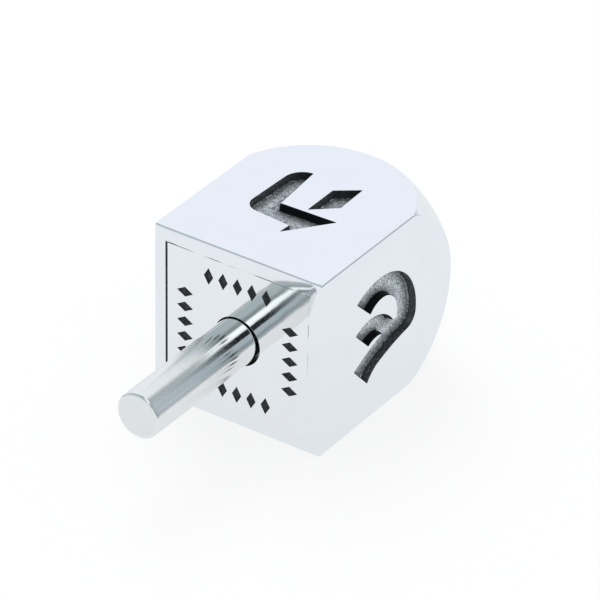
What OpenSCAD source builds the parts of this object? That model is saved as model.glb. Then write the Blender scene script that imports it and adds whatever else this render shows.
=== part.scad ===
// A four-sided spinning top, lying on one lettered side with its stem to the front.
// Every piece is worked out standing up, with the stem face at height 0 and the stem
// rising from it, and is then laid down as one. Sizes are in millimetres.

/* [Body] */
// Width of each flat side
body_side = 25.4; // [24:0.1:32]
// Length of the straight corner edges, from the stem face to the dome
edge_length = 20.2; // [18:0.1:26]
// How far the dome rises past the corner edges
dome_rise = 14.4; // [11:0.1:17]
// Thickness of the cast wall
wall = 2.6; // [2.3:0.05:3.2]
// Width taken off each side of a sharp edge
edge_break = 0.15; // [0.05:0.05:0.4]

/* [Letters] */
// Height of the letters
letter_height = 14.1; // [10:0.1:16]
// Distance from the stem face to the top of the letters
letter_top = 7.6; // [5:0.1:9]
// Depth of the letters
letter_depth = 1.15; // [0.4:0.05:1.6]

/* [Stem plate] */
// Width of the rim left round the plate
rim_width = 1.75; // [1.2:0.05:2]
// Thickness of the plate
plate_thickness = 2; // [1.2:0.1:3]
// Gap between the centred plate and its rim
plate_gap = 0.25; // [0.15:0.01:0.35]
// How far the plate has settled to one side in that gap
plate_shift = 0.08; // [0:0.01:0.12]
// How far the plate has settled towards the side that the part lies on
plate_drop = 0.1; // [0:0.01:0.12]
// Gap between the stem and the hole in the plate
stem_gap = 0.27; // [0.2:0.01:0.6]
// Number of engraved lozenges along each edge of the plate
mark_count = 5; // [1:1:5]
// Distance from the middle of the plate to a row of lozenges
mark_reach = 8; // [7:0.1:8.6]
// Spacing of the lozenges in a row
mark_pitch = 2.2; // [1.8:0.1:2.4]
// Width of a lozenge, along its row
mark_width = 1.4; // [0.6:0.1:1.7]
// Height of a lozenge, across its row
mark_height = 2.4; // [1:0.1:3]
// Depth of the engraving
mark_depth = 0.2; // [0.1:0.05:0.5]

/* [Stem] */
// Diameter of the stem
stem_diameter = 6.35; // [5:0.05:7]
// Length of the stem above the stem face
stem_length = 20.9; // [14:0.1:28]
// Width of the bevel round the free end
stem_bevel = 0.25; // [0.1:0.05:0.6]
// Depth that the stem is turned down where it passes through the plate
neck_cut = 0.25; // [0.2:0.05:0.4]

/* [Thread] */
// Diameter over the thread
thread_diameter = 4; // [3:0.1:4.5]
// Spacing of the turns of the thread
thread_pitch = 0.7; // [0.5:0.05:1]
// Depth of the thread
thread_depth = 0.38; // [0.2:0.01:0.45]
// Number of turns
thread_turns = 12; // [6:1:16]
// Clearance round the thread
thread_clearance = 0.05; // [0.02:0.01:0.1]

/* [Stem socket] */
// Diameter of the socket
socket_diameter = 8.6; // [8:0.1:11]
// Height of the flat seat cast inside the dome
seat_height = 2.5; // [2.3:0.1:4]
// Diameter of the peg under the socket
peg_diameter = 5; // [3:0.1:6]
// Length of the peg
peg_length = 2; // [1:0.1:2.2]
// Clearance round the peg
peg_clearance = 0.03; // [0.01:0.01:0.1]
// Room left past the end of the thread and of the peg
end_room = 0.5; // [0.2:0.1:1]

/* [Hidden] */
$fn = 96;

// Spare length on a cutting shape, so that it passes clear of the face it cuts
cut_spare = 1;
// Points along each curved stretch of a letter
curve_steps = 12;
// The letters are drawn on a grid this tall
letter_grid = 100;

body_half = body_side / 2;
body_length = edge_length + dome_rise;
half_diagonal = body_half * sqrt(2);
dome_radius = (half_diagonal ^ 2 + dome_rise ^ 2) / (2 * dome_rise);
dome_centre = body_length - dome_radius;
cavity_half = body_half - wall;
recess_side = body_side - 2 * rim_width;
plate_side = recess_side - 2 * plate_gap;
stem_radius = stem_diameter / 2;
thread_radius = thread_diameter / 2;
thread_root = thread_radius - thread_depth;
thread_length = thread_turns * thread_pitch;
tenon_length = thread_pitch + thread_length;
seat_depth = body_length - wall - seat_height;
metal = [0.9, 0.91, 0.94];

// Letter outlines, clockwise from the top as [across, up, bow to the next point].
// A bow above 0 swells outwards. The stem is up.
hei_arch = [
    [-8.6, 0, 0], [-9.5, -13.3, 0], [30.5, -16.4, 3.6], [42.7, -31.5, 0],
    [40.9, -80.5, 4.3], [23.6, -98, 0], [18.4, -39.1, 0], [-40.4, -41.1, 0]
];
hei_leg = [
    [-7.6, -44.7, 0], [-7.4, -84, 0], [-28.5, -100, 0], [-29.4, -67.6, 0.6], [-28.5, -62.9, 0]
];
shin = [
    [41.3, -2.9, 7.2], [46.4, -62.7, 10.8], [-11.9, -98.1, 3.3], [-25.5, -85.5, -1.2],
    [-37.1, -39.4, -1.8], [-51, -21.4, 0], [-28.3, 0, 1.4], [-9.9, -44.9, -2.6],
    [-11.8, -22.1, 0], [8.8, -1.8, 12.1], [-4.2, -61.2, 0], [-4.6, -66.9, -19.9], [20.8, -24.5, 0]
];
nun = [
    [-3, 0, 0], [-4, -13.3, 0], [12, -15, 3.6], [24.5, -30.5, 0], [24.5, -86, 3.6],
    [12, -100, 0], [-36, -100, 0], [-25, -75, 0], [1, -75, 0], [0, -40, 0], [-28, -41, 0]
];
gimel = [
    [-4, 0, 0], [-5, -13.3, 0], [12, -15, 3.6], [24.5, -30.5, 0], [23.5, -80, 4.3],
    [6, -98, 0], [3, -74, 0], [-28, -100, 0], [-31, -75, 0], [0.5, -50, 0], [0.5, -40, 0],
    [-27, -41, 0]
];

// Points on the arc from one point towards another, without the last
function bowed(from, to, bow) =
    let (
        half_chord = norm(to - from) / 2,
        radius = (half_chord ^ 2 + bow ^ 2) / (2 * bow),
        outward = [from.y - to.y, to.x - from.x] / (2 * half_chord),
        centre = (from + to) / 2 + outward * (bow - radius),
        start = atan2(from.y - centre.y, from.x - centre.x),
        sweep = -2 * asin(half_chord / radius)
    )
    [for (i = [0:curve_steps - 1])
        let (angle = start + sweep * i / curve_steps)
        centre + abs(radius) * [cos(angle), sin(angle)]];

function flat_point(knot) = [knot[0], knot[1]] * letter_height / letter_grid;

function letter_points(knots) =
    [for (i = [0:len(knots) - 1])
        let (
            from = flat_point(knots[i]),
            to = flat_point(knots[(i + 1) % len(knots)]),
            bow = knots[i][2] * letter_height / letter_grid
        )
        each (bow == 0 ? [from] : bowed(from, to, bow))];

function broken_square(side, cut) =
    let (far = side / 2, near = side / 2 - cut)
    [[near, -far], [far, -near], [far, near], [near, far],
     [-near, far], [-far, near], [-far, -near], [-near, -far]];

// Shapes that several pieces share

module lay_down() {
    translate([0, (stem_length - body_length) / 2, body_half])
        rotate([90, 0, 0])
            children();
}

module post(radius, top, bottom) {
    translate([0, 0, bottom])
        cylinder(r = radius, h = top - bottom);
}

module block(side, top, bottom) {
    translate([-side / 2, -side / 2, bottom])
        cube([side, side, top - bottom]);
}

module dome(radius) {
    translate([0, 0, -dome_centre])
        sphere(r = radius);
}

module letter_cut(turn, knots) {
    rotate([0, 0, turn])
        translate([0, letter_depth - body_half, -letter_top])
            rotate([90, 0, 0])
                linear_extrude(letter_depth + cut_spare)
                    polygon(letter_points(knots));
}

module rim_break(turn) {
    rotate([0, 0, turn])
        translate([0, body_half, 0])
            rotate([45, 0, 0])
                cube([2 * body_side, edge_break * sqrt(2), edge_break * sqrt(2)], center = true);
}

module lozenge_row(turn) {
    rotate([0, 0, turn])
        for (i = [0:mark_count - 1])
            translate([(i - (mark_count - 1) / 2) * mark_pitch, mark_reach, -mark_depth])
                linear_extrude(mark_depth + cut_spare)
                    polygon([[mark_width / 2, 0], [0, mark_height / 2],
                             [-mark_width / 2, 0], [0, -mark_height / 2]]);
}

// The cast body, from outside in

module body_outside() {
    intersection() {
        translate([0, 0, -body_length - cut_spare])
            linear_extrude(body_length + cut_spare)
                polygon(broken_square(body_side, edge_break));
        union() {
            dome(dome_radius);
            block(2 * body_side, cut_spare, -edge_length);
        }
    }
}

module body_cavity() {
    intersection() {
        block(2 * cavity_half, cut_spare, -body_length);
        union() {
            dome(dome_radius - wall);
            block(2 * body_side, cut_spare, -edge_length);
        }
    }
}

module body() {
    color(metal)
        lay_down()
            difference() {
                union() {
                    difference() {
                        body_outside();
                        body_cavity();
                    }
                    post(socket_diameter / 2, -seat_depth, -seat_depth - seat_height - wall / 2);
                }
                post(peg_diameter / 2 + peg_clearance, -seat_depth + cut_spare,
                     -seat_depth - peg_length - end_room);
                block(recess_side, cut_spare, -plate_thickness);
                for (side = [0:3])
                    rim_break(90 * side);
                letter_cut(0, nun);
                letter_cut(90, shin);
                letter_cut(180, hei_arch);
                letter_cut(180, hei_leg);
                letter_cut(270, gimel);
            }
}

// The turned socket that stands in the dome and takes the stem's thread

module stem_socket() {
    color(metal * 0.9)
        lay_down()
            difference() {
                union() {
                    post(socket_diameter / 2, -plate_thickness, -seat_depth);
                    post(peg_diameter / 2, -seat_depth, -seat_depth - peg_length);
                }
                post(thread_radius + thread_clearance, -plate_thickness + cut_spare,
                     -plate_thickness - tenon_length - end_room);
            }
}

// The square plate that closes the body and lets the stem through

module stem_plate() {
    color(metal * 0.95)
        lay_down()
            translate([plate_shift, -plate_drop, 0])
                difference() {
                    block(plate_side, 0, -plate_thickness);
                    post(stem_radius + stem_gap, cut_spare, -plate_thickness - cut_spare);
                    for (side = [0:3])
                        lozenge_row(90 * side);
                }
}

// The stem, with its thread drawn as plain rings

module stem() {
    shoulder = -plate_thickness;
    thread_top = shoulder - thread_pitch;
    thread_outline = [for (i = [0:thread_turns - 1])
        each [
            [thread_root, thread_top - i * thread_pitch],
            [thread_radius, thread_top - (i + 0.5) * thread_pitch]
        ]];
    color(metal * 0.97)
        lay_down()
            rotate_extrude()
                polygon(concat(
                    [
                        [0, stem_length],
                        [stem_radius - stem_bevel, stem_length],
                        [stem_radius, stem_length - stem_bevel],
                        [stem_radius, 0],
                        [stem_radius - neck_cut, 0],
                        [stem_radius - neck_cut, shoulder],
                        [thread_root, shoulder]
                    ],
                    thread_outline,
                    [
                        [thread_root, shoulder - tenon_length],
                        [0, shoulder - tenon_length]
                    ]
                ));
}

body();
stem_socket();
stem_plate();
stem();
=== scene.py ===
# A silver dreidel lying on one lettered side: the looks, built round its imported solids.
import math
import random

import bpy
from mathutils import Matrix, Vector, noise
from mathutils.geometry import convex_hull_2d, delaunay_2d_cdt


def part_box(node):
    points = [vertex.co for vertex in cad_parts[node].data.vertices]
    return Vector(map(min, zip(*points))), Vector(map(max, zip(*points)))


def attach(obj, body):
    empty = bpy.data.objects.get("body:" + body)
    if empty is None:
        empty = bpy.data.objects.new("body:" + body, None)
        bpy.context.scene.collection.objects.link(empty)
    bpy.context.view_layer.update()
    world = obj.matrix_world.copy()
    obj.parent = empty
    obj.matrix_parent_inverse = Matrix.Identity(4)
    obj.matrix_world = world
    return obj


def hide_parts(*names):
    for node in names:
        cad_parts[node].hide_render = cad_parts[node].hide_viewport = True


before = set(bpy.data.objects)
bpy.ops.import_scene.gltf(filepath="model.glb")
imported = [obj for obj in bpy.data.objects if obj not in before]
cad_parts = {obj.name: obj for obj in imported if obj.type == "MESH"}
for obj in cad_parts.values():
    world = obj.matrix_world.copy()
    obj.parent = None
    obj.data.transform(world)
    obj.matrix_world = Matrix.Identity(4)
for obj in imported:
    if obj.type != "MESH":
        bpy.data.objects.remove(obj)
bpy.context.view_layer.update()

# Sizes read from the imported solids, in millimetres
MM = 0.001
body_low, body_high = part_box("body")
plate_low, plate_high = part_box("stem_plate")
socket_low, socket_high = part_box("stem_socket")
stem_low, stem_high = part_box("stem")
stem_face_y = body_low.y / MM
axis_height = (body_low.z + body_high.z) / 2 / MM
body_half = (body_high.x - body_low.x) / 2 / MM
body_length = (body_high.y - body_low.y) / MM
plate_half = (plate_high.x - plate_low.x) / 2 / MM
plate_shift = (plate_high.x + plate_low.x) / 2 / MM
plate_drop = axis_height - (plate_high.z + plate_low.z) / 2 / MM
plate_thickness = (plate_high.y - plate_low.y) / MM
socket_radius = (socket_high.x - socket_low.x) / 2 / MM
stem_radius = (stem_high.x - stem_low.x) / 2 / MM
stem_length = (body_low.y - stem_low.y) / MM
tenon_end = (body_low.y - stem_high.y) / MM

# Sizes that the solids' boxes do not give, in millimetres
edge_length = 20.2
wall = 2.6
rim_width = 1.75
seat_height = 2.5
peg_hole_radius = 2.53
peg_hole_depth = 2.5
stem_gap = 0.27
neck_cut = 0.25
thread_radius = 2.0
thread_depth = 0.38
thread_pitch = 0.7
letter_height = 14.1
letter_top = 7.6
letter_depth = 1.15
mark_count = 5
mark_reach = 8.0
mark_pitch = 2.2
mark_width = 1.4
mark_height = 2.4
mark_depth = 0.2
solder_depth = 0.8
solder_bite = 0.01

# How the letters came out of the mould: shares of their depth, lengths, and waves per millimetre
wall_share = 0.92
wall_draft = 0.1
wall_ripple = 0.09
halfway_ripple = 0.05
ripple_rate = 2.6
fillet_reach = 0.35
fillet_ragged = 0.6
ragged_rate = 1.3
floor_lift = 0.02
swell_height = 0.015
swell_rate = 0.8
swell_seed = 5
grit_height = 0.01
grit_rate = 3.5

# How far polishing reached into the letters, in millimetres, and its share at the foot of a wall
open_reach = 2.0
open_fade = 1.1
patina_reach = 1.5
foot_share = 0.33
# Shares of the letters' depth over which the wear of their walls ends and that of their floors begins
WALL_WEAR_END = (0.55, 0.95)
FLOOR_WEAR_START = (0.89, 0.97)

# How far the polishing wheel has rounded each kind of edge, in millimetres
corner_round = 0.2
arc_round = 0.16
rim_round = 0.21
rim_roll = 13.0
mouth_round = 0.01
plate_round = 0.01
hole_round = 0.08
letter_rim = 0.05
letter_rim_bend = 0.015
mark_rim = 0.03
stem_round = 0.42
# How far from the plate the stem's polish begins to turn hazy, and where it is haziest, in millimetres
STEM_HAZE = (2.0, 11.0)
# How far inside the core of the thread and below its crest the dark residue ends, in millimetres
core_margin = 0.1
crest_margin = 0.05

# Worked out from the sizes above
half_diagonal = body_half * math.sqrt(2)
dome_rise = body_length - edge_length
dome_radius = (half_diagonal ** 2 + dome_rise ** 2) / (2 * dome_rise)
dome_middle = dome_radius - body_length
recess_half = body_half - rim_width
cavity_half = body_half - wall
seat_top = wall + seat_height - body_length
hole_radius = stem_radius + stem_gap
neck_radius = stem_radius - neck_cut
thread_root = thread_radius - thread_depth
thread_top = -plate_thickness - thread_pitch

# How finely the pieces are divided
SIDE_COLUMNS = 48
CORNER_STEPS = 4
DOME_STEPS = 36
ROUND_STEPS = 5
ROLL_STEPS = 6
TURNED_STEPS = 128
THREAD_STEPS = 12
BOW_STEPS = 16
LETTER_SPACING = 0.22
FLOOR_SPACING = 0.24
WALL_ROW = 0.6
FLOOR_STRAY = 0.35
MARK_SPACING = 0.2
SOLDER_SPACING = 0.2
WELD = 20000
TINY = 0.000001
# The kind of filling that keeps to the inside of a first outline and leaves the others open
WITH_HOLES = 2

# Which of its piece's materials a face takes, where it isn't the first one, the polish
DARK = 1
RAW = 2
SEAM = 3
TURNED = 1
STEM_END = 2

# Letter outlines, clockwise from the top as (across, up, bow to the next point).
# A bow above 0 swells outwards. The stem is up, and the letters stand 100 tall.
LETTER_GRID = 100
HEI_ARCH = [
    (-8.6, 0, 0), (-9.5, -13.3, 0), (30.5, -16.4, 3.6), (42.7, -31.5, 0),
    (40.9, -80.5, 4.3), (23.6, -98, 0), (18.4, -39.1, 0), (-40.4, -41.1, 0),
]
HEI_LEG = [
    (-7.6, -44.7, 0), (-7.4, -84, 0), (-28.5, -100, 0), (-29.4, -67.6, 0.6), (-28.5, -62.9, 0),
]
SHIN = [
    (41.3, -2.9, 7.2), (46.4, -62.7, 10.8), (-11.9, -98.1, 3.3), (-25.5, -85.5, -1.2),
    (-37.1, -39.4, -1.8), (-51, -21.4, 0), (-28.3, 0, 1.4), (-9.9, -44.9, -2.6),
    (-11.8, -22.1, 0), (8.8, -1.8, 12.1), (-4.2, -61.2, 0), (-4.6, -66.9, -19.9), (20.8, -24.5, 0),
]
NUN = [
    (-3, 0, 0), (-4, -13.3, 0), (12, -15, 3.6), (24.5, -30.5, 0), (24.5, -86, 3.6),
    (12, -100, 0), (-36, -100, 0), (-25, -75, 0), (1, -75, 0), (0, -40, 0), (-28, -41, 0),
]
GIMEL = [
    (-4, 0, 0), (-5, -13.3, 0), (12, -15, 3.6), (24.5, -30.5, 0), (23.5, -80, 4.3),
    (6, -98, 0), (3, -74, 0), (-28, -100, 0), (-31, -75, 0), (0.5, -50, 0), (0.5, -40, 0),
    (-27, -41, 0),
]
# One list for each side, counted from the side that the dreidel lies on
SIDE_LETTERS = [[NUN], [SHIN], [HEI_ARCH, HEI_LEG], [GIMEL]]
# The way that the letter walls painted lightest face, as painted light falling from that side, in degrees
# from across to up
PAINTED_LIGHT_WAYS = [200, 85, 225, 160]
# How far the letter floors on each side are rubbed bare, with painted light added on the second side,
# whose floor is painted lighter
FLOORS_RUBBED_AND_PAINTED_LIGHT = [0.62, 0.84, 0.62, 0.62]
# How deep the cracks in the solder go along the sides of the plate that it fills, in millimetres
SOLDER_CRACKS = {0: 0.0, 1: 0.04, 2: 0.035}
corner_crack = 0.15
corner_crack_reach = 2.5
# How often the cracks open and close, how much of the seam they take and how sharply they end
crack_rate = 0.55
crack_seed = 7.3
crack_level = 0.4
crack_lift = 0.15
crack_edge = 3
closed_share = 0.4
# Across the face of the solder: share of the gap from the plate, and share of the crack's depth
SOLDER_SLICE = [(0, 1), (0.15, 1), (0.3, 0.4), (0.45, 0), (1, 0)]
# Down the wall of a lozenge: depth in millimetres, and share of its full size
LOZENGE_STEPS = [(0, 1.03), (mark_rim, 1), (mark_depth * 0.8, 0.72), (mark_depth, 0.55)]
# How steeply the thread rises, where 1 gives a sharp crest and more flattens it
thread_rise = 1.15
UP = Vector((0, 0, 1))
QUARTER_TURNS = [(1, 0), (0, 1), (-1, 0), (0, -1)]


# Building a skin of faces


class Skin:
    """The faces of one piece, gathered standing on the dome and laid down when it is made."""

    def __init__(self):
        self.points = []
        self.numbers = {}
        self.faces = []
        self.normals = []
        self.finishes = []
        self.stretches = []
        self.rubbed_and_painted_light = {}

    def number(self, point):
        key = tuple(round(value * WELD) for value in point)
        if key not in self.numbers:
            self.numbers[key] = len(self.points)
            self.points.append(Vector(point))
        return self.numbers[key]

    def face(self, corners, normals=None, finish=0, stretch=None):
        """Adds one face. With no normals it is flat, or smooth within the stretch it names."""
        numbers = [self.number(corner) for corner in corners]
        kept = [i for i in range(len(numbers)) if numbers[i] != numbers[i - 1]]
        if len(kept) < 3:
            return
        self.faces.append([numbers[i] for i in kept])
        self.normals.append([normals[i] for i in kept] if normals else None)
        self.finishes.append(finish)
        self.stretches.append(stretch)

    def strip(self, first, second, first_normals=None, second_normals=None, **kind):
        """Joins two closed rings of points, the second of them further along the skin."""
        count = len(first)
        for i in range(count):
            j = (i + 1) % count
            normals = None
            if first_normals:
                normals = [first_normals[i], first_normals[j], second_normals[j], second_normals[i]]
            self.face([first[i], first[j], second[j], second[i]], normals, **kind)

    def chain(self, rings, **kind):
        """Joins closed rings in a row, each to the next."""
        for first, second in zip(rings, rings[1:]):
            self.strip(first, second, **kind)

    def smooth_normals(self):
        """The mean normal at each point of each smooth stretch."""
        sums = {}
        for face, stretch in zip(self.faces, self.stretches):
            if stretch is None:
                continue
            normal = flat_normal([self.points[i] for i in face])
            for i in face:
                sums[stretch, i] = sums.get((stretch, i), Vector((0, 0, 0))) + normal
        return sums

    def make(self, name, materials):
        """Lays the skin down as an object in metres."""
        mesh = bpy.data.meshes.new(name)
        mesh.from_pydata([laid_point(point) for point in self.points], [], self.faces)
        for material in materials:
            mesh.materials.append(material)
        mesh.polygons.foreach_set("material_index", self.finishes)
        mesh.polygons.foreach_set("use_smooth", [True] * len(self.faces))
        smooth = self.smooth_normals()
        corner_normals = []
        for face, normals, stretch in zip(self.faces, self.normals, self.stretches):
            if normals is None and stretch is None:
                normals = [flat_normal([self.points[i] for i in face])] * len(face)
            elif normals is None:
                normals = [smooth[stretch, i] for i in face]
            corner_normals += [laid_direction(normal).normalized() for normal in normals]
        mesh.normals_split_custom_set(corner_normals)
        # Per-point rubbing of the letters, with painted light mixed in
        if self.rubbed_and_painted_light:
            rubbed_and_painted_light = mesh.attributes.new("rubbed_and_painted_light", "FLOAT", "POINT")
            rubbed_and_painted_light.data.foreach_set("value", [self.rubbed_and_painted_light.get(i, 0.0) for i in range(len(self.points))])
        mesh.update()
        piece = bpy.data.objects.new(name, mesh)
        bpy.context.scene.collection.objects.link(piece)
        return piece


def laid_point(point):
    return Vector((point[0], stem_face_y - point[2], axis_height + point[1])) * MM


def laid_direction(direction):
    return Vector((direction[0], -direction[2], direction[1]))


def flat_normal(points):
    """The face's normal, as long as twice its area."""
    total = Vector((0, 0, 0))
    for i in range(1, len(points) - 1):
        total += (points[i] - points[0]).cross(points[i + 1] - points[0])
    return total


def on_side(side, across, out):
    """A place in the cross-section, measured across one side and outwards from the axis."""
    turn = QUARTER_TURNS[side]
    return Vector((across * turn[0] + out * turn[1], across * turn[1] - out * turn[0]))


def square_loop(reach, corner):
    """The cross-section of a square bar with rounded corners."""
    flat = reach - corner
    loop = []
    for side in range(4):
        for step in range(SIDE_COLUMNS + 1):
            loop.append(on_side(side, flat * (2 * step / SIDE_COLUMNS - 1), reach))
        for step in range(1, CORNER_STEPS):
            angle = math.radians(90) * step / CORNER_STEPS
            loop.append(on_side(side, flat + corner * math.sin(angle), flat + corner * math.cos(angle)))
    return loop


def loop_normals():
    """The outward direction at each point of a square loop."""
    normals = []
    for side in range(4):
        for step in range(SIDE_COLUMNS + CORNER_STEPS):
            angle = math.radians(90) * max(step - SIDE_COLUMNS, 0) / CORNER_STEPS
            normals.append(on_side(side, math.sin(angle), math.cos(angle)).to_3d())
    return normals


def level(loop, height):
    return [Vector((point.x, point.y, height)) for point in loop]


def round_loop(loop, radius):
    """A circle with one point in the direction of each point of a loop."""
    return [point.normalized() * radius for point in loop]


def on_dome(loop, radius, share=1):
    """A loop, or a smaller copy of it, laid on a sphere about the middle of the dome."""
    ring = []
    for point in loop:
        reach = point.length * share
        height = dome_middle - math.sqrt(radius ** 2 - reach ** 2)
        ring.append(Vector((point.x * share, point.y * share, height)))
    return ring


def rounded_edge(skin, start, edge, end, start_normals, end_normals, **kind):
    """Rounds an edge from one ring to another, bending towards the ring of sharp points."""
    last, last_normals = start, start_normals
    for step in range(1, ROUND_STEPS + 1):
        t = step / ROUND_STEPS
        ring = [a * (1 - t) ** 2 + b * 2 * t * (1 - t) + c * t ** 2 for a, b, c in zip(start, edge, end)]
        normals = [a.lerp(b, t).normalized() for a, b in zip(start_normals, end_normals)]
        skin.strip(last, ring, last_normals, normals, **kind)
        last, last_normals = ring, normals


def fill(loops, inner_points=()):
    """Triangles between a first loop and the loops inside it, as numbers in their joined list."""
    points = []
    outlines = []
    for loop in loops:
        outlines.append(list(range(len(points), len(points) + len(loop))))
        points += loop
    points += inner_points
    found = delaunay_2d_cdt(points, [], outlines, WITH_HOLES, TINY)
    faces, sources = found[2:4]
    return points, [[sources[i][0] for i in face] for face in faces]


def cover(skin, loops, place, depth, normals=None, **kind):
    """Closes the flat between a first loop and the loops inside it, at one depth."""
    points, triangles = fill(loops)
    for triangle in triangles:
        skin.face([place(points[i], depth) for i in triangle], normals, **kind)


# Sunk letters and marks


def bowed(start, end, bow):
    """Points on the arc from one point towards another, without the last."""
    if bow == 0:
        return [start]
    half_chord = (end - start).length / 2
    radius = (half_chord ** 2 + bow ** 2) / (2 * bow)
    outward = Vector((start.y - end.y, end.x - start.x)) / (2 * half_chord)
    centre = (start + end) / 2 + outward * (bow - radius)
    first = math.atan2(start.y - centre.y, start.x - centre.x)
    sweep = -2 * math.asin(half_chord / radius)
    angles = [first + sweep * step / BOW_STEPS for step in range(BOW_STEPS)]
    return [centre + Vector((math.cos(angle), math.sin(angle))) * abs(radius) for angle in angles]


def divided(outline, spacing):
    """The outline with points added along its longer stretches."""
    points = []
    for start, end in zip(outline, outline[1:] + outline[:1]):
        steps = max(1, round((end - start).length / spacing))
        points += [start.lerp(end, step / steps) for step in range(steps)]
    return points


def letter_outline(knots):
    """A letter's outline on its side, anticlockwise, measured from the middle of the stem face's edge."""
    scale = letter_height / LETTER_GRID
    outline = []
    for start, end in zip(knots, knots[1:] + knots[:1]):
        outline += bowed(Vector(start[:2]), Vector(end[:2]), start[2])
    placed = [point * scale - Vector((0, letter_top)) for point in reversed(outline)]
    return divided(placed, LETTER_SPACING)


def inward_lines(outline):
    """For each point, the inward direction and the radius of the largest circle that fits there."""
    count = len(outline)
    lines = []
    for i in range(count):
        here = outline[i]
        before = (here - outline[i - 1]).normalized()
        after = (outline[(i + 1) % count] - here).normalized()
        line = Vector((-before.y - after.y, before.x + after.x)).normalized()
        room = letter_height
        for other in outline:
            facing = line.dot(other - here)
            if facing > TINY:
                room = min(room, (other - here).length_squared / (2 * facing))
        lines.append((line, room))
    return lines


def inside(point, outline):
    """Is the point inside the outline?"""
    found = False
    for start, end in zip(outline, outline[1:] + outline[:1]):
        if (start.y > point.y) != (end.y > point.y):
            crossing = start.x + (point.y - start.y) * (end.x - start.x) / (end.y - start.y)
            if point.x < crossing:
                found = not found
    return found


def nearest(point, outline):
    return min((point - edge).length for edge in outline)


def open_shares(outline):
    """How open each wall of a letter is to polishing: 1 round its outside, 0 between its strokes."""
    hull = [outline[i] for i in convex_hull_2d(outline)]
    shares = []
    for point in outline:
        sunk = letter_height
        for start, end in zip(hull, hull[1:] + hull[:1]):
            along = (end - start).normalized()
            sunk = min(sunk, abs(along.cross(point - start)))
        shares.append(min(1, max(0, (open_reach - sunk) / open_fade)))
    return shares


def floor_points(outline, lines, seed):
    """Points on a letter's floor: a row close to its wall, and scattered points further in."""
    scatter = random.Random(seed)
    points = []
    for point, (line, room) in zip(outline, lines):
        if room > 2 * FLOOR_SPACING:
            points.append(point + line * FLOOR_SPACING * WALL_ROW)
    low = Vector((min(p.x for p in outline), min(p.y for p in outline)))
    high = Vector((max(p.x for p in outline), max(p.y for p in outline)))
    for row in range(int((high.y - low.y) / FLOOR_SPACING) + 1):
        for column in range(int((high.x - low.x) / FLOOR_SPACING) + 1):
            stray = Vector([scatter.uniform(-FLOOR_STRAY, FLOOR_STRAY) for axis in range(2)])
            point = low + (Vector((column + row % 2 / 2, row)) + stray) * FLOOR_SPACING
            if nearest(point, outline) > FLOOR_SPACING and inside(point, outline):
                points.append(point)
    return points


def unevenness(point, rate, seed):
    return noise.noise(Vector((point.x * rate, point.y * rate, seed)))


def floor_depth(point, away, seed):
    """How deep a letter's floor is, rising in a rough fillet where it meets the wall."""
    fillet = min(1, away / (fillet_reach * (1 + fillet_ragged * unevenness(point, ragged_rate, seed))))
    swell = unevenness(point, swell_rate, seed + swell_seed) * swell_height
    grit = unevenness(point, grit_rate, seed) * grit_height
    depth = wall_share + (1 - wall_share) * math.sin(math.radians(90) * fillet)
    return letter_depth * depth - fillet * (floor_lift + swell + grit)


def cast_letter(skin, outline, place, seed, painted_light_way, floor_rubbed_and_painted_light):
    """Sinks one letter with rough cast walls and floor, and returns its rim."""
    lines = inward_lines(outline)
    way = Vector((math.cos(math.radians(painted_light_way)), math.sin(math.radians(painted_light_way))))
    run = [0.0]
    for start, end in zip(outline, outline[1:]):
        run.append(run[-1] + (end - start).length)

    def ring(depth, inset, ripple):
        made = []
        for point, (line, room), along in zip(outline, lines, run):
            fluting = noise.noise(Vector((along * ripple_rate, seed, 0))) * ripple
            made.append((point + line * min(inset + fluting, room / 2), depth))
        return made

    rings = [
        ring(0, -letter_rim, 0),
        ring(letter_rim_bend, -letter_rim_bend, 0),
        ring(letter_rim, 0, 0),
        ring(letter_depth * wall_share / 2, wall_draft / 2, halfway_ripple),
        ring(letter_depth * wall_share, wall_draft, wall_ripple),
    ]
    stretch = f"letter {seed}"
    sink(skin, rings, place, stretch)
    opens = open_shares(outline)
    # Painted light: walls facing the painted light way are painted lighter, scaled by how open each wall
    # is to polishing
    for ring_made in rings:
        for (point, depth), (line, room), share in zip(ring_made, lines, opens):
            skin.rubbed_and_painted_light[skin.number(place(point, depth))] = (0.5 + 0.5 * line.dot(way)) * share
    edge = [point for point, depth in rings[-1]]
    points, triangles = fill([edge], floor_points(edge, inward_lines(edge), seed))
    depths = [letter_depth * wall_share] * len(edge)
    # The floor's share is rubbing, with painted light on the second side, and it is darker towards the
    # foot of the walls
    for point in points[len(edge):]:
        away = nearest(point, edge)
        depth = floor_depth(point, away, seed)
        depths.append(depth)
        fade = min(1, foot_share + (1 - foot_share) * away / patina_reach)
        skin.rubbed_and_painted_light[skin.number(place(point, depth))] = floor_rubbed_and_painted_light * fade
    for triangle in triangles:
        skin.face([place(points[i], depths[i]) for i in triangle], finish=DARK, stretch=stretch)
    return [point for point, depth in rings[0]]


def sink(skin, rings, place, stretch):
    """Joins rings that go down into a hollow."""
    placed = [[place(point, depth) for point, depth in ring] for ring in rings]
    skin.chain(placed, finish=DARK, stretch=stretch)


def cut_lozenge(skin, outline, place, stretch):
    """Cuts one engraved lozenge with sloping walls, and returns its rim."""
    middle = sum(outline, Vector((0, 0))) / len(outline)
    rings = []
    for depth, share in LOZENGE_STEPS:
        rings.append([(middle + (point - middle) * share, depth) for point in outline])
    sink(skin, rings, place, stretch)
    edge = [point for point, depth in rings[-1]]
    cover(skin, [edge], place, mark_depth, finish=DARK, stretch=stretch)
    return [point for point, depth in rings[0]]


# The pieces


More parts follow.
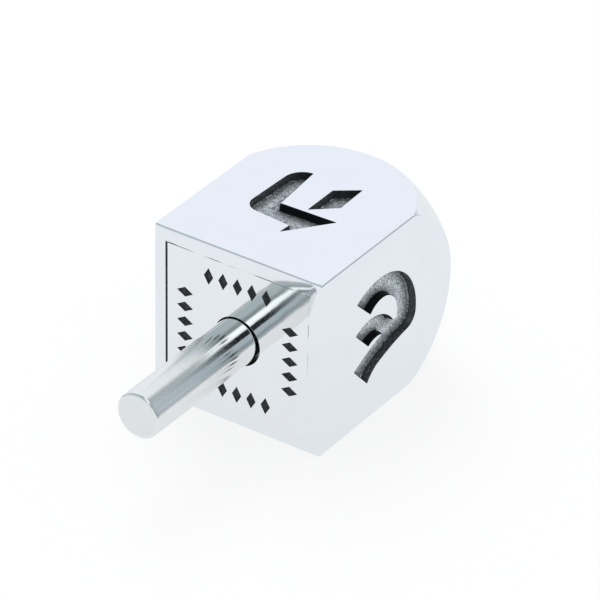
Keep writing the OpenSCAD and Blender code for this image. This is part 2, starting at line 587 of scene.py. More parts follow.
def body_dome(skin, outer, side_normals):
    """The dome and its rounded edges, up to the ring where the flat sides begin."""
    edge = on_dome(outer, dome_radius)
    lead = []
    for point in outer:
        polar = math.asin(point.length / dome_radius) - arc_round / dome_radius
        lead.append(point.normalized() * dome_radius * math.sin(polar))
    last, last_normals = None, None
    for step in range(DOME_STEPS + 1):
        ring = on_dome(lead, dome_radius, math.sin(math.radians(90) * step / DOME_STEPS))
        normals = [(p - UP * dome_middle).normalized() for p in ring]
        if last:
            skin.strip(last, ring, last_normals, normals)
        last, last_normals = ring, normals
    sides = [point + UP * arc_round for point in edge]
    rounded_edge(skin, last, edge, sides, last_normals, side_normals)
    return sides


def rolled(loop):
    """A loop laid on the stem face's rim, which polishing has rolled off outside the plate's recess."""
    ring = []
    for point in loop:
        over = Vector((max(0, abs(point.x) - recess_half), max(0, abs(point.y) - recess_half)))
        ring.append(Vector((point.x, point.y, -over.length_squared / (2 * rim_roll))))
    return ring


def rolled_normals(loop):
    """The way the rolled rim faces at each point of a loop."""
    normals = []
    for point in loop:
        over = [math.copysign(max(0, abs(value) - recess_half), value) for value in (point.x, point.y)]
        normals.append(Vector((over[0], over[1], rim_roll)).normalized())
    return normals


def body_sides(skin, dome_edge, outer, side_normals):
    """The rounded corners and the four flat sides with their letters."""
    per_side = SIDE_COLUMNS + CORNER_STEPS
    rim = [point - UP * rim_round for point in rolled(outer)]
    for i in range(len(outer)):
        if i % per_side >= SIDE_COLUMNS:
            j = (i + 1) % len(outer)
            normals = [side_normals[i], side_normals[j], side_normals[j], side_normals[i]]
            skin.face([dome_edge[i], dome_edge[j], rim[j], rim[i]], normals)
    for side in range(4):

        def place(point, depth):
            flat = on_side(side, point.x, body_half - depth)
            return Vector((flat.x, flat.y, point.y))

        columns = range(side * per_side, side * per_side + SIDE_COLUMNS + 1)
        flat_reach = body_half - corner_round
        across = [flat_reach * (2 * step / SIDE_COLUMNS - 1) for step in range(SIDE_COLUMNS + 1)]
        boundary = [Vector((x, dome_edge[i].z)) for x, i in zip(across, columns)]
        boundary += [Vector((x, rim[i].z)) for x, i in zip(reversed(across), reversed(columns))]
        rims = []
        for count, knots in enumerate(SIDE_LETTERS[side]):
            outline = letter_outline(knots)
            seed = 10 * side + count
            rims.append(cast_letter(skin, outline, place, seed, PAINTED_LIGHT_WAYS[side], FLOORS_RUBBED_AND_PAINTED_LIGHT[side]))
        cover(skin, [boundary] + rims, place, 0, [on_side(side, 0, 1).to_3d()] * 3)
    return rim


def body_mouth(skin, rim, side_normals):
    """The rim round the stem plate, the recess that takes the plate, and the hollow inside."""
    lip_reach = body_half - rim_round
    mouth_reach = recess_half + mouth_round
    last = rolled(square_loop(lip_reach, corner_round))
    last_normals = rolled_normals(last)
    rounded_edge(skin, rim, rolled(rim), last, side_normals, last_normals)
    for step in range(1, ROLL_STEPS + 1):
        t = step / ROLL_STEPS
        ring = rolled(square_loop(lip_reach + (mouth_reach - lip_reach) * t, corner_round * (1 - t)))
        normals = rolled_normals(ring)
        skin.strip(last, ring, last_normals, normals)
        last, last_normals = ring, normals
    recess = square_loop(recess_half, 0)
    cavity = square_loop(cavity_half, 0)
    ledge = level(recess, -plate_thickness)
    skin.strip(last, level(recess, -mouth_round))
    skin.strip(level(recess, -mouth_round), ledge, finish=SEAM)
    seat = round_loop(cavity, socket_radius)
    vault = []
    for step in range(ROUND_STEPS + 1):
        loop = [a.lerp(b, step / ROUND_STEPS) for a, b in zip(cavity, seat)]
        vault.append(on_dome(loop, dome_radius - wall))
    skin.chain([ledge, level(cavity, -plate_thickness), vault[0]], finish=RAW)
    skin.chain(vault, finish=RAW, stretch="hollow")
    hole = round_loop(cavity, peg_hole_radius)
    floor = seat_top - peg_hole_depth
    pit = [level(seat, seat_top), level(hole, seat_top), level(hole, floor), [UP * floor] * len(hole)]
    skin.chain([vault[-1]] + pit, finish=RAW)


def make_body(materials):
    skin = Skin()
    outer = square_loop(body_half, corner_round)
    side_normals = loop_normals()
    dome_edge = body_dome(skin, outer, side_normals)
    rim = body_sides(skin, dome_edge, outer, side_normals)
    body_mouth(skin, rim, side_normals)
    return skin.make("cast_body", materials)


def turned_ring(radius, height):
    angles = [2 * math.pi * step / TURNED_STEPS for step in range(TURNED_STEPS)]
    return [Vector((radius * math.cos(a), radius * math.sin(a), height)) for a in angles]


def make_plate(materials):
    """The square plate, with a row of engraved lozenges along each edge."""
    skin = Skin()
    shift = Vector((plate_shift, -plate_drop, 0))
    edge = square_loop(plate_half, plate_round)
    inset = square_loop(plate_half - plate_round, plate_round)
    out = loop_normals()

    def moved(ring):
        return [point + shift for point in ring]

    def place(point, depth):
        return Vector((point.x, point.y, -depth)) + shift

    ups = [UP] * len(edge)
    low = moved(level(edge, -plate_thickness))
    high = moved(level(edge, -plate_round))
    top = moved(level(inset, 0))
    skin.strip(low, high, out, out, finish=DARK)
    rounded_edge(skin, high, moved(level(edge, 0)), top, out, ups)
    rims = []
    for side in range(4):
        for count in range(mark_count):
            middle = (count - (mark_count - 1) / 2) * mark_pitch
            corners = [
                (middle + mark_width / 2, mark_reach),
                (middle, mark_reach + mark_height / 2),
                (middle - mark_width / 2, mark_reach),
                (middle, mark_reach - mark_height / 2),
            ]
            outline = [on_side(side, across, reach) for across, reach in corners]
            turning = (outline[1] - outline[0]).cross(outline[2] - outline[1])
            if turning < 0:
                outline.reverse()
            stretch = f"lozenge {side} {count}"
            rims.append(cut_lozenge(skin, divided(outline, MARK_SPACING), place, stretch))
    mouth = [point.to_2d() for point in turned_ring(hole_radius + hole_round, 0)]
    cover(skin, [inset, mouth] + rims, place, 0, [UP] * 3)
    lip = moved(turned_ring(hole_radius + hole_round, 0))
    sharp = moved(turned_ring(hole_radius, 0))
    bore_top = moved(turned_ring(hole_radius, -hole_round))
    bore_low = moved(turned_ring(hole_radius, -plate_thickness))
    bore_normals = [-point.normalized() for point in turned_ring(1, 0)]
    bore_ups = [UP] * TURNED_STEPS
    rounded_edge(skin, lip, sharp, bore_top, bore_ups, bore_normals)
    skin.strip(bore_top, bore_low, bore_normals, bore_normals, finish=DARK)
    bore = [point.to_2d() for point in turned_ring(hole_radius, 0)]
    points, triangles = fill([edge, bore])
    for triangle in triangles:
        skin.face([place(points[i], plate_thickness) for i in reversed(triangle)], [-UP] * 3, finish=DARK)
    return skin.make("engraved_plate", materials)


def solder_row(side, across, crack):
    """One slice across the soldered seam beside the plate, from the plate to the body's rim."""
    outward = on_side(side, 0, 1)
    plate_edge = plate_half + outward.dot(Vector((plate_shift, -plate_drop))) - solder_bite
    rim_edge = recess_half + solder_bite
    row = []
    for share, open_share in SOLDER_SLICE:
        place = on_side(side, across, plate_edge + (rim_edge - plate_edge) * share)
        row.append(Vector((place.x, place.y, -solder_bite / 2 - crack * open_share)))
    for out in (rim_edge, plate_edge):
        place = on_side(side, across, out)
        row.append(Vector((place.x, place.y, -solder_depth)))
    return row


def crack_depth(side, across):
    """How far the solder has cracked away from the plate: widest at one corner, closed low down."""
    broken = noise.noise(Vector((across * crack_rate, side * crack_seed, crack_level))) + crack_lift
    depth = SOLDER_CRACKS[side] * min(1, max(0, crack_edge * broken))
    if side == 1:
        depth *= min(1, max(0, across / recess_half + closed_share))
    if side == 2:
        depth = max(depth, corner_crack * (1 - (recess_half - across) / corner_crack_reach))
    return depth


def make_solder(materials):
    """Solder drawn into the seam on three sides of the plate, cracked away from it here and there."""
    skin = Skin()
    right_edge = plate_half + plate_shift
    spans = [(-recess_half, right_edge), (-recess_half, recess_half), (-right_edge, recess_half)]
    for side in SOLDER_CRACKS:
        start, end = spans[side]
        steps = round((end - start) / SOLDER_SPACING)
        rows = []
        for step in range(steps + 1):
            across = start + (end - start) * step / steps
            rows.append(solder_row(side, across, crack_depth(side, across)))
        skin.chain(rows)
        skin.face(list(reversed(rows[0])))
        skin.face(rows[-1])
    return skin.make("seam_solder", materials)


def thread_ring(height):
    """One ring of the screw thread, whose crest climbs as it goes round."""
    low, high = tenon_end, thread_top
    fade = min(1, (height - low) / thread_pitch, (high - height) / thread_pitch)
    ring = []
    for step in range(TURNED_STEPS):
        angle = 2 * math.pi * step / TURNED_STEPS
        turn = (height / thread_pitch - step / TURNED_STEPS) % 1
        crest = 1 - abs(2 * turn - 1)
        radius = thread_root + thread_depth * max(0, fade) * min(1, crest * thread_rise)
        ring.append(Vector((radius * math.cos(angle), radius * math.sin(angle), height)))
    return ring


def make_stem(materials):
    """The stem from the end of its thread to its rounded free end."""
    skin = Skin()
    out = [point.normalized() for point in turned_ring(1, 0)]
    ups = [UP] * TURNED_STEPS
    downs = [-UP] * TURNED_STEPS
    last = thread_ring(tenon_end)
    skin.strip([UP * tenon_end] * TURNED_STEPS, last, downs, downs, finish=TURNED)
    rows = round((thread_top - tenon_end) / thread_pitch * THREAD_STEPS)
    for row in range(1, rows + 1):
        ring = thread_ring(tenon_end + (thread_top - tenon_end) * row / rows)
        skin.strip(last, ring, finish=TURNED, stretch="thread")
        last = ring
    shoulder = turned_ring(thread_root, -plate_thickness)
    neck_low = turned_ring(neck_radius, -plate_thickness)
    neck_high = turned_ring(neck_radius, 0)
    root = turned_ring(stem_radius, 0)
    skin.strip(last, shoulder, out, out, finish=TURNED)
    skin.strip(shoulder, neck_low, downs, downs, finish=TURNED)
    skin.strip(neck_low, neck_high, out, out, finish=TURNED)
    skin.strip(neck_high, root, downs, downs, finish=TURNED)
    crown = turned_ring(stem_radius, stem_length - stem_round)
    skin.strip(root, crown, out, out)
    cap = turned_ring(stem_radius - stem_round, stem_length)
    rounded_edge(skin, crown, turned_ring(stem_radius, stem_length), cap, out, ups)
    skin.strip(cap, [UP * stem_length] * TURNED_STEPS, ups, ups, finish=STEM_END)
    return skin.make("turned_stem", materials)


# Wiring shader nodes


class Wiring:
    """Adds nodes to one tree and links them as they are made."""

    def __init__(self, tree):
        self.tree = tree

    def add(self, kind, inputs=None, **settings):
        made = self.tree.nodes.new("ShaderNode" + kind)
        for name, value in settings.items():
            setattr(made, name, value)
        self.feed(made, inputs or {})
        return made

    def feed(self, node, inputs):
        """Sets inputs of a node, by a link where another node gives the value."""
        for key, value in inputs.items():
            if isinstance(value, bpy.types.NodeSocket):
                self.tree.links.new(value, node.inputs[key])
            else:
                node.inputs[key].default_value = value

    def math(self, operation, first, second=0.0):
        return self.add("Math", {0: first, 1: second}, operation=operation).outputs[0]

    def mix(self, factor, first, second):
        made = self.add("Mix", {0: factor, 6: first, 7: second}, data_type="RGBA")
        return made.outputs[2]

    def between(self, value, low, high, to_low=0.0, to_high=1.0):
        """Eases from one value to another as the input passes from low to high."""
        inputs = {"Value": value, "From Min": low, "From Max": high, "To Min": to_low, "To Max": to_high}
        return self.add("MapRange", inputs, interpolation_type="SMOOTHSTEP").outputs[0]

    def speckle(self, place, scale, detail=2.0, roughness=0.5):
        inputs = {"Vector": place, "Scale": scale, "Detail": detail, "Roughness": roughness}
        return self.add("TexNoise", inputs).outputs[0]

    def dot(self, first, second):
        made = self.add("VectorMath", {0: first, 1: second}, operation="DOT_PRODUCT")
        return made.outputs["Value"]

    def parts(self, place):
        return self.add("SeparateXYZ", {0: place}).outputs

    def stretched(self, place, amounts):
        return self.add("VectorMath", {0: place, 1: amounts}, operation="MULTIPLY").outputs[0]

    def ramp(self, factor, stops):
        made = self.add("ValToRGB", {0: factor})
        elements = made.color_ramp.elements
        for place, colour in stops[1:-1]:
            elements.new(place).color = colour
        elements[0].position, elements[0].color = stops[0]
        elements[-1].position, elements[-1].color = stops[-1]
        return made.outputs[0]


def effect_group(name, inputs, outputs):
    """Starts a shared effect and returns its wiring, its inputs and its output node."""
    tree = bpy.data.node_groups.new(name, "ShaderNodeTree")
    for label, kind, value in inputs:
        socket = tree.interface.new_socket(name=label, in_out="INPUT", socket_type=kind)
        socket.default_value = value
    for label, kind in outputs:
        tree.interface.new_socket(name=label, in_out="OUTPUT", socket_type=kind)
    start = tree.nodes.new("NodeGroupInput")
    return Wiring(tree), start.outputs, tree.nodes.new("NodeGroupOutput")


NUMBER = "NodeSocketFloat"
COLOUR = "NodeSocketColor"


def object_place(wiring):
    """Where a point of the surface is, in millimetres."""
    place = wiring.add("TexCoord").outputs["Object"]
    return wiring.add("VectorMath", {0: place, "Scale": 1 / MM}, operation="SCALE").outputs[0]


def side_distances(wiring, parts):
    """How far a place, given by its parts, is inside the body's upright and its level sides."""
    from_upright = wiring.math("SUBTRACT", body_half, wiring.math("ABSOLUTE", parts[0]))
    height = wiring.math("ABSOLUTE", wiring.math("SUBTRACT", parts[2], axis_height))
    return from_upright, wiring.math("SUBTRACT", body_half, height)


def polish_effect():
    """Hairlines and faint clouds that a polishing wheel leaves on silver."""
    wiring, given, end = effect_group(
        "wheel_polish",
        [
            ("Roughness", NUMBER, 0.05),
            ("Haze", NUMBER, 0.04),
            ("Specks", NUMBER, 0.02),
            ("Across", NUMBER, 5.0),
            ("Along", NUMBER, 0.6),
        ],
        [("Roughness", NUMBER), ("Height", NUMBER), ("Cloud", NUMBER), ("Wave", NUMBER)],
    )
    place = object_place(wiring)
    across, along = given["Across"], given["Along"]
    amounts = wiring.add("CombineXYZ", {0: across, 1: along, 2: across}).outputs[0]
    hairs = wiring.speckle(wiring.stretched(place, amounts), 1.0, 4.0, 0.6)
    cloud = wiring.speckle(place, 0.22, 3.0, 0.55)
    dust = wiring.speckle(place, 5.0, 2.0, 0.5)
    blend = wiring.math("ADD", wiring.math("MULTIPLY", hairs, 0.5), wiring.math("MULTIPLY", cloud, 0.5))
    spread = wiring.math("MULTIPLY", wiring.between(blend, 0.35, 0.7), given["Haze"])
    specks = wiring.math("MULTIPLY", wiring.between(dust, 0.48, 0.7), given["Specks"])
    relief = wiring.math("ADD", wiring.math("MULTIPLY", hairs, 0.7), wiring.math("MULTIPLY", dust, 0.3))
    wiring.feed(end, {
        "Roughness": wiring.math("ADD", given["Roughness"], wiring.math("ADD", spread, specks)),
        "Height": relief,
        "Cloud": wiring.between(cloud, 0.4, 0.75),
        "Wave": wiring.speckle(place, 0.3, 1.0, 0.4),
    })
    return wiring.tree


def patina_effect():
    """The dark skin left in a hollow after polishing, rubbed through in fine grains where it is barest."""
    wiring, given, end = effect_group(
        "hollow_patina",
        [
            ("Bareness_and_painted_light", NUMBER, 0.5),
            ("Grain", NUMBER, 4.0),
            ("Dark", COLOUR, (0.007, 0.009, 0.01, 1)),
            ("Bare", COLOUR, (0.78, 0.83, 0.87, 1)),
        ],
        [("Colour", COLOUR), ("Roughness", NUMBER), ("Height", NUMBER)],
    )
    place = object_place(wiring)
    grains = wiring.add("TexVoronoi", {"Vector": place, "Scale": given["Grain"]}).outputs
    grit = wiring.add("SeparateColor", {0: grains["Color"]}).outputs[0]
    blotch = wiring.speckle(place, 2.0, 2.0, 0.5)
    # Bareness here is rubbing, and for the letters it also carries painted light
    rubbed_and_painted_light = wiring.math("MULTIPLY", given["Bareness_and_painted_light"], wiring.between(grit, 0.0, 1.0, 0.58, 1.42))
    rubbed_and_painted_light = wiring.math("MULTIPLY", rubbed_and_painted_light, wiring.between(blotch, 0.35, 0.65, 0.88, 1.1))
    wiring.feed(end, {
        "Colour": wiring.mix(rubbed_and_painted_light, given["Dark"], given["Bare"]),
        "Roughness": wiring.between(grit, 0.0, 1.0, 0.65, 0.4),
        "Height": wiring.math("SUBTRACT", 1.0, grains["Distance"]),
    })
    return wiring.tree


def edge_effect():
    """How close a point of the square body is to one of its long edges, broken up by small dents."""
    wiring, given, end = effect_group(
        "edge_wear",
        [("Reach", NUMBER, 0.8)],
        [("Wear", NUMBER)],
    )
    place = object_place(wiring)
    away = wiring.math("MAXIMUM", *side_distances(wiring, wiring.parts(place)))
    dents = wiring.speckle(place, 1.6, 4.0, 0.65)
    limit = wiring.math("MULTIPLY", given["Reach"], wiring.between(dents, 0.4, 0.75))
    wiring.feed(end, {"Wear": wiring.math("LESS_THAN", away, limit)})
    return wiring.tree


wheel_polish = polish_effect()
hollow_patina = patina_effect()
edge_wear = edge_effect()


def start_material(name):
    """A new material's wiring and its shader."""
    material = bpy.data.materials.new(name)
    material.use_nodes = True
    wiring = Wiring(material.node_tree)
    return material, wiring, material.node_tree.nodes["Principled BSDF"]


def bump(wiring, shader, height, strength, distance, under=None):
    """Raises the surface by a height, over another such relief if there is one."""
    inputs = {"Height": height, "Strength": strength, "Distance": distance * MM}
    if under:
        inputs["Normal"] = under
    relief = wiring.add("Bump", inputs).outputs[0]
    wiring.feed(shader, {"Normal": relief})
    return relief


def polished_silver(
    name, bright, warm, roughness, haze, across, along, wave, specks=0.02, worn_edges=False, turned=False
):
    """Mirror-polished silver with hairlines along the given direction and long shallow waves."""
    material, wiring, shader = start_material(name)
    polish = wiring.add(
        "Group",
        {"Roughness": roughness, "Haze": haze, "Specks": specks, "Across": across, "Along": along},
        node_tree=wheel_polish,
    ).outputs
    rough = polish["Roughness"]
    if worn_edges:
        wear = wiring.add("Group", {"Reach": 0.5}, node_tree=edge_wear).outputs["Wear"]
        rough = wiring.math("ADD", rough, wiring.math("MULTIPLY", wear, 0.12))
    if turned:
        from_plate = wiring.math("SUBTRACT", stem_face_y, wiring.parts(object_place(wiring))[1])
        rough = wiring.math("ADD", rough, wiring.between(from_plate, *STEM_HAZE, 0.0, 0.15))
        around = wiring.add("Tangent", direction_type="RADIAL", axis="Y").outputs[0]
        wiring.feed(shader, {"Tangent": around, "Anisotropic": 0.9, "Anisotropic Rotation": 0.25})
    tone = wiring.mix(polish["Cloud"], bright, warm)
    wiring.feed(shader, {"Base Color": tone, "Roughness": rough, "Metallic": 1.0})
    waves = bump(wiring, shader, polish["Wave"], 1.0, wave)
    bump(wiring, shader, polish["Height"], 0.02, 0.01, waves)
    return material


def darkened(wiring, shader, bareness_and_painted_light, grain, metallic):
    """Sets a shader to darkened metal, rubbed to the given bareness, and returns its grain's height."""
    patina = wiring.add("Group", {"Bareness_and_painted_light": bareness_and_painted_light, "Grain": grain}, node_tree=hollow_patina).outputs
    wiring.feed(shader, {"Base Color": patina["Colour"], "Roughness": patina["Roughness"]})
    wiring.feed(shader, {"Metallic": metallic, "Specular IOR Level": 0.2})
    return patina["Height"]


def letter_patina():
    """Darkened cast metal in the letters: streaked walls that fade into a rubbed grey floor, with painted
    light on the walls facing one way and on the second side's floors.
    """
    material, wiring, shader = start_material("letter_patina")
    parts = wiring.parts(object_place(wiring))
    depth = wiring.math("MINIMUM", *side_distances(wiring, parts))
    layers = wiring.add("CombineXYZ", {
        0: parts[1],
        1: wiring.math("ADD", parts[0], parts[2]),
        2: wiring.math("MULTIPLY", depth, 3.5),
    }).outputs[0]
    streaks = wiring.speckle(layers, 2.2, 3.0, 0.65)
    # This attribute holds rubbing and painted light together: walls facing one way and the second side's
    # floors are painted lighter
    rubbed_and_painted_light = wiring.add("Attribute", attribute_name="rubbed_and_painted_light").outputs["Fac"]
    wall_edge = wiring.math("ADD", depth, wiring.between(streaks, 0.3, 0.7, -0.2, 0.2))
    wear_end = [letter_depth * share for share in WALL_WEAR_END]
    wall_wear_and_painted_light = wiring.between(wall_edge, *wear_end, 0.09, 0.0)
    wall_wear_and_painted_light = wiring.math("MULTIPLY", wall_wear_and_painted_light, wiring.between(rubbed_and_painted_light, 0.3, 0.85))
    walls = wiring.math("MULTIPLY", wall_wear_and_painted_light, wiring.between(streaks, 0.38, 0.66, 0.15, 2.6))
    floor_edge = wiring.math("ADD", depth, wiring.between(streaks, 0.35, 0.65, -0.04, 0.03))
    wear_start = [letter_depth * share for share in FLOOR_WEAR_START]
    # Floors lighter by their rubbing, with painted light on the second side's floors
    floor = wiring.between(floor_edge, *wear_start, 0.1, 1.0)
    floor = wiring.math("MULTIPLY", floor, rubbed_and_painted_light)
    bareness_and_painted_light = wiring.math("MAXIMUM", walls, floor)
    grains = darkened(wiring, shader, bareness_and_painted_light, 5.5, 0.6)
    relief = wiring.math("ADD", grains, wiring.math("MULTIPLY", streaks, 0.8))
    bump(wiring, shader, relief, 0.6, 0.05)
    return material


def dark_cut(name, bareness_and_painted_light, grain):
    """Darkened metal in engraved cuts and narrow gaps."""
    material, wiring, shader = start_material(name)
    grains = darkened(wiring, shader, bareness_and_painted_light, grain, 0.3)
    bump(wiring, shader, grains, 0.4, 0.03)
    return material


def raw_casting():
    """The unpolished inside of the body."""
    material, wiring, shader = start_material("raw_casting")
    place = object_place(wiring)
    sand = wiring.speckle(place, 3.2, 5.0, 0.7)
    stain = wiring.speckle(place, 0.3, 3.0, 0.6)
    colour = wiring.mix(wiring.between(stain, 0.35, 0.7), (0.62, 0.62, 0.61, 1), (0.4, 0.38, 0.35, 1))
    rough = wiring.between(sand, 0.3, 0.7, 0.4, 0.62)
    wiring.feed(shader, {"Base Color": colour, "Roughness": rough, "Metallic": 1.0})
    bump(wiring, shader, sand, 0.6, 0.08)
    return material


def turned_silver():
    """Silver left as it came off the lathe, with rings round the axis and a little stain."""
    material, wiring, shader = start_material("turned_silver")
    place = object_place(wiring)
    parts = wiring.parts(place)
    along = wiring.add("CombineXYZ", {1: parts[1]}).outputs[0]
    rings = wiring.speckle(along, 9.0, 4.0, 0.7)
    stain = wiring.speckle(place, 0.6, 4.0, 0.6)
    colour = wiring.mix(wiring.between(stain, 0.4, 0.75), (0.74, 0.74, 0.76, 1), (0.52, 0.48, 0.42, 1))
    height = wiring.math("SUBTRACT", parts[2], axis_height)
    spoke = wiring.add("CombineXYZ", {0: parts[0], 2: height}).outputs[0]
    off_axis = wiring.add("VectorMath", {0: spoke}, operation="LENGTH").outputs["Value"]
    above_core = wiring.between(off_axis, thread_root - core_margin, thread_root)
    below_crest = wiring.between(off_axis, thread_root, thread_radius - crest_margin, 1.0, 0.0)
    residue = wiring.math("MULTIPLY", wiring.math("MINIMUM", above_core, below_crest), 0.9)
    colour = wiring.mix(residue, colour, (0.03, 0.028, 0.025, 1))
    rough = wiring.between(rings, 0.3, 0.7, 0.24, 0.42)
    wiring.feed(shader, {"Base Color": colour, "Roughness": rough, "Metallic": 1.0})
    bump(wiring, shader, rings, 0.4, 0.02)
    return material


body_polish = polished_silver(
    "body_polish", (0.9, 0.905, 0.925, 1), (0.885, 0.888, 0.905, 1),
    roughness=0.05, haze=0.05, across=6.0, along=0.5, wave=0.02, worn_edges=True,
)
plate_polish = polished_silver(
    "plate_polish", (0.9, 0.905, 0.92, 1), (0.885, 0.888, 0.9, 1),
    roughness=0.03, haze=0.03, across=5.0, along=5.0, wave=0.03,
)
stem_polish = polished_silver(
    "stem_polish", (0.91, 0.905, 0.89, 1), (0.89, 0.885, 0.865, 1),
    roughness=0.06, haze=0.04, across=0.8, along=7.0, wave=0.01, specks=0.05, turned=True,
)
end_polish = polished_silver(
    "end_polish", (0.845, 0.845, 0.83, 1), (0.825, 0.82, 0.8, 1),
    roughness=0.08, haze=0.06, across=3.0, along=3.0, wave=0.01,
)
solder_polish = polished_silver(
    "solder_polish", (0.9, 0.905, 0.92, 1), (0.885, 0.888, 0.9, 1),
    roughness=0.04, haze=0.05, across=5.0, along=5.0, wave=0.01,
)
engraving = dark_cut("engraving", 0.035, 5.0)
seam_dark = dark_cut("seam_dark", 0.32, 5.0)
thread_silver = turned_silver()

body = make_body([body_polish, letter_patina(), raw_casting(), seam_dark])
plate = make_plate([plate_polish, engraving])
solder = make_solder([solder_polish])
stem = make_stem([stem_polish, thread_silver, end_polish])
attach(body, "top")
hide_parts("body")
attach(plate, "top")
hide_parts("stem_plate")
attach(solder, "top")
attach(stem, "stem")
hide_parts("stem")
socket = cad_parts["stem_socket"]
socket.data.materials.clear()
socket.data.materials.append(thread_silver)

# The stage: a pale floor, a soft studio round it and a camera in front of the stem

FLOOR_REACH = 2.0
# Where the floor's painted reflection lies: white out to white_near round the object and to the sheet's
# edge along WHITE_HEADING, turning grey by white_far
white_near = 0.07
white_far = 0.12
WHITE_HEADING = (-0.5, 0.87, 0.0)
camera_bearing = math.radians(34.196)
camera_rise = math.radians(32.659)
camera_roll = math.radians(0.881)
camera_aim = Vector((-7.945, -5.08, 642.75)) * MM
SENSOR = 36.0
IMAGE_SIDE = 600
focal_pixels = 5141.75

# The studio: the dark opening by the camera, and the far wall with its grey band, as parts of a direction
OPENING_WAY = (0.473, -0.696, 0.54)
opening_edge = math.radians(11)
opening_core = math.radians(7)
REAR_HALF = (-0.25, 0.25)
FAR_WALL = (0.72, 0.8)
BAND_FOOT = (0.02, 0.2)
BAND_TOP = (0.24, 0.45)
BAND_RIGHT = (-0.3, 0.25)


def make_floor():
    """A wide pale sheet, plain white to the camera. In mirror reflections it glows with a painted
    reflection: white round the object and far towards the back left, grey further out.
    """
    mesh = bpy.data.meshes.new("floor_sheet")
    corners = [(-1, -1), (1, -1), (1, 1), (-1, 1)]
    mesh.from_pydata([(x * FLOOR_REACH, y * FLOOR_REACH, 0) for x, y in corners], [], [[0, 1, 2, 3]])
    sheet = bpy.data.objects.new("floor_sheet", mesh)
    bpy.context.scene.collection.objects.link(sheet)
    material, wiring, shader = start_material("pale_paper_with_painted_reflection")
    place = wiring.add("TexCoord").outputs["Object"]
    fibre = wiring.speckle(place, 900.0, 3.0, 0.6)
    rough = wiring.between(fibre, 0.3, 0.7, 0.86, 0.94)
    sheet_white = (0.93, 0.93, 0.93, 1)
    wiring.feed(shader, {"Base Color": sheet_white, "Roughness": rough, "Specular IOR Level": 0.1})
    path = wiring.add("LightPath").outputs
    distance = wiring.add("VectorMath", {0: place}, operation="LENGTH").outputs["Value"]
    heading = wiring.add("VectorMath", {0: place}, operation="NORMALIZE").outputs[0]
    behind = wiring.dot(heading, WHITE_HEADING)
    squeeze = wiring.between(behind, 0.4, 0.75, 1.0, white_near / FLOOR_REACH)
    near = wiring.math("MULTIPLY", distance, squeeze)
    # Painted reflection: the colours the floor glows with in mirror reflections only
    mirrored = wiring.ramp(wiring.math("DIVIDE", near, white_far), [
        (0.0, (0.85, 0.885, 0.905, 1)),
        (white_near / white_far, (0.86, 0.9, 0.95, 1)),
        (1.0, (0.34, 0.39, 0.42, 1)),
    ])
    # Camera rays see the plain white backdrop, and glossy rays see the painted reflection
    backdrop_white_and_painted_reflection = wiring.mix(path["Is Camera Ray"], mirrored, (1, 1, 1, 1))
    backdrop_and_painted_reflection_glow = wiring.add("Emission", {"Color": backdrop_white_and_painted_reflection, "Strength": 1.0})
    share = wiring.math("MULTIPLY", path["Is Camera Ray"], 0.8)
    share = wiring.math("MAXIMUM", share, wiring.math("MULTIPLY", path["Is Glossy Ray"], 0.93))
    share = wiring.math("MAXIMUM", share, path["Is Transmission Ray"])
    surface = wiring.add("MixShader", {0: share, 1: shader.outputs[0], 2: backdrop_and_painted_reflection_glow.outputs[0]})
    wiring.feed(wiring.tree.nodes["Material Output"], {"Surface": surface.outputs[0]})
    mesh.materials.append(material)


def turn_stops(turns):
    """Ramp stops for angles round the stem's axis, in degrees from the right-hand horizon."""
    return [((angle + 180) / 360, (*colour, 1)) for angle, colour in turns]


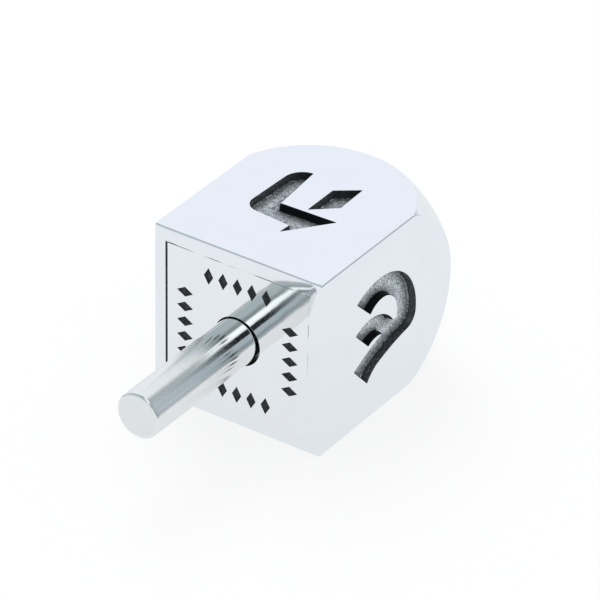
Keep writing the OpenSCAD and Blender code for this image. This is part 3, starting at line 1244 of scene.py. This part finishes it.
def make_studio():
    """White cards round the object, grey gaps between them and the dark of the room by the camera."""
    world = bpy.data.worlds.new("studio")
    bpy.context.scene.world = world
    world.use_nodes = True
    wiring = Wiring(world.node_tree)
    direction = wiring.add("TexCoord").outputs["Generated"]
    parts = wiring.parts(direction)
    angle = wiring.math("ARCTAN2", parts[2], parts[0])
    spread = wiring.add("MapRange", {"Value": angle, "From Min": -math.pi, "From Max": math.pi}).outputs[0]
    paper = (0.9, 0.935, 0.955)
    card = (0.9, 0.943, 1.02)
    blue_grey = (0.43, 0.51, 0.57)
    teal_grey = (0.43, 0.52, 0.55)
    far_grey = (0.47, 0.51, 0.54)
    gap = (0.25, 0.31, 0.33)
    dark = (0.01, 0.012, 0.014)
    strip_light = (1.12, 1.2, 1.22)
    behind = wiring.ramp(spread, turn_stops([
        (-180, paper), (-26, paper), (-6, blue_grey), (45, blue_grey), (66, gap), (74, gap),
        (90, paper), (100, card), (180, card),
    ]))
    before = wiring.ramp(spread, turn_stops([
        (-180, paper), (-24, paper), (-4, gap), (4, gap), (20, blue_grey), (57, blue_grey),
        (71, strip_light), (86, strip_light), (95, gap), (106, gap), (120, teal_grey),
        (172, teal_grey), (180, paper),
    ]))
    facing = wiring.dot(direction, OPENING_WAY)
    opening = wiring.between(facing, math.cos(opening_edge), math.cos(opening_core))
    before = wiring.mix(opening, before, (*dark, 1))
    rear = wiring.between(parts[1], *REAR_HALF)
    far = wiring.between(parts[1], *FAR_WALL)
    rising = wiring.between(parts[2], *BAND_FOOT)
    falling = wiring.between(parts[2], *BAND_TOP, 1.0, 0.0)
    band = wiring.math("MINIMUM", rising, falling)
    band = wiring.math("MULTIPLY", band, wiring.between(parts[0], *BAND_RIGHT))
    far_tone = wiring.mix(band, (*card, 1), (*far_grey, 1))
    cards = wiring.mix(far, wiring.mix(rear, before, behind), far_tone)
    path = wiring.add("LightPath").outputs
    plain = wiring.mix(path["Is Camera Ray"], (0.9, 0.91, 0.92, 1), (1, 1, 1, 1))
    mirrored = wiring.math("MAXIMUM", path["Is Glossy Ray"], path["Is Transmission Ray"])
    colour = wiring.mix(mirrored, plain, cards)
    wiring.feed(world.node_tree.nodes["Background"], {"Color": colour, "Strength": 1.0})


def make_lamp():
    """One wide soft lamp above and behind the object's left side."""
    lamp = bpy.data.lights.new("soft_box", "AREA")
    lamp.shape = "DISK"
    lamp.size = 0.5
    lamp.energy = 1.6
    holder = bpy.data.objects.new("soft_box", lamp)
    holder.location = Vector((-0.35, 0.3, 0.6))
    holder.rotation_euler = (-holder.location).to_track_quat("-Z", "Y").to_euler()
    holder.visible_glossy = False
    bpy.context.scene.collection.objects.link(holder)


def make_camera():
    """A long lens in front, to the right of the stem and above it."""
    forward = -Vector((
        math.sin(camera_bearing) * math.cos(camera_rise),
        -math.cos(camera_bearing) * math.cos(camera_rise),
        math.sin(camera_rise),
    ))
    level_right = forward.cross(UP).normalized()
    level_up = level_right.cross(forward)
    right = level_right * math.cos(camera_roll) + level_up * math.sin(camera_roll)
    above = level_up * math.cos(camera_roll) - level_right * math.sin(camera_roll)
    target = Vector((0, stem_face_y, axis_height)) * MM
    offset = right * camera_aim.x + above * camera_aim.y + forward * camera_aim.z
    eye = bpy.data.cameras.new("camera")
    eye.sensor_width = SENSOR
    eye.lens = focal_pixels * SENSOR / IMAGE_SIDE
    eye.clip_start = 0.01
    eye.clip_end = 10
    holder = bpy.data.objects.new("camera", eye)
    frame_turn = Matrix((right, above, -forward)).transposed().to_4x4()
    holder.matrix_world = Matrix.Translation(target - offset) @ frame_turn
    bpy.context.scene.collection.objects.link(holder)
    bpy.context.scene.camera = holder


make_floor()
make_studio()
make_lamp()
make_camera()
bpy.context.scene.view_settings.view_transform = "Standard"

bpy.context.view_layer.update()
